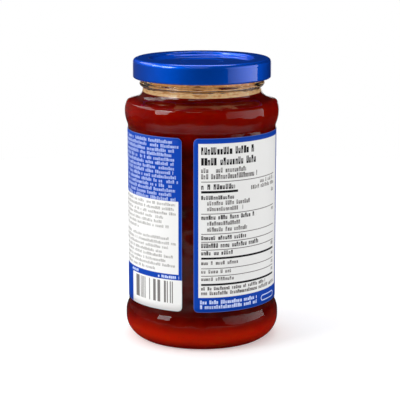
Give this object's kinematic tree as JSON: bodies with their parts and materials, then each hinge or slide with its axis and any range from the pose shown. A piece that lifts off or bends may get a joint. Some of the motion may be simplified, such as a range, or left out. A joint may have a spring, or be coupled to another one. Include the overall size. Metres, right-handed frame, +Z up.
{
  "type": "jar of cooking sauce",
  "caption": "Shut glass jar of red-brown cooking sauce with a blue twist-off metal lid and a blue and white wraparound label.",
  "frame": {"origin": "centre of the foot ring, on the surface that the jar stands on", "axes": "+Z up along the jar's axis; -Y towards the strip of bare glass between the two ends of the label; +X to the right when the strip is looked at"},
  "size_m": [0.0746, 0.0746, 0.1362],
  "materials": {
    "glass": "gloss",
    "lid_enamel": "gloss",
    "sauce": "gloss",
    "label_paper": "satin"
  },
  "bodies": {
    "root": {"jar": "glass", "lid": "lid_enamel", "sauce": "sauce", "label": "label_paper"}
  },
  "joints": []
}
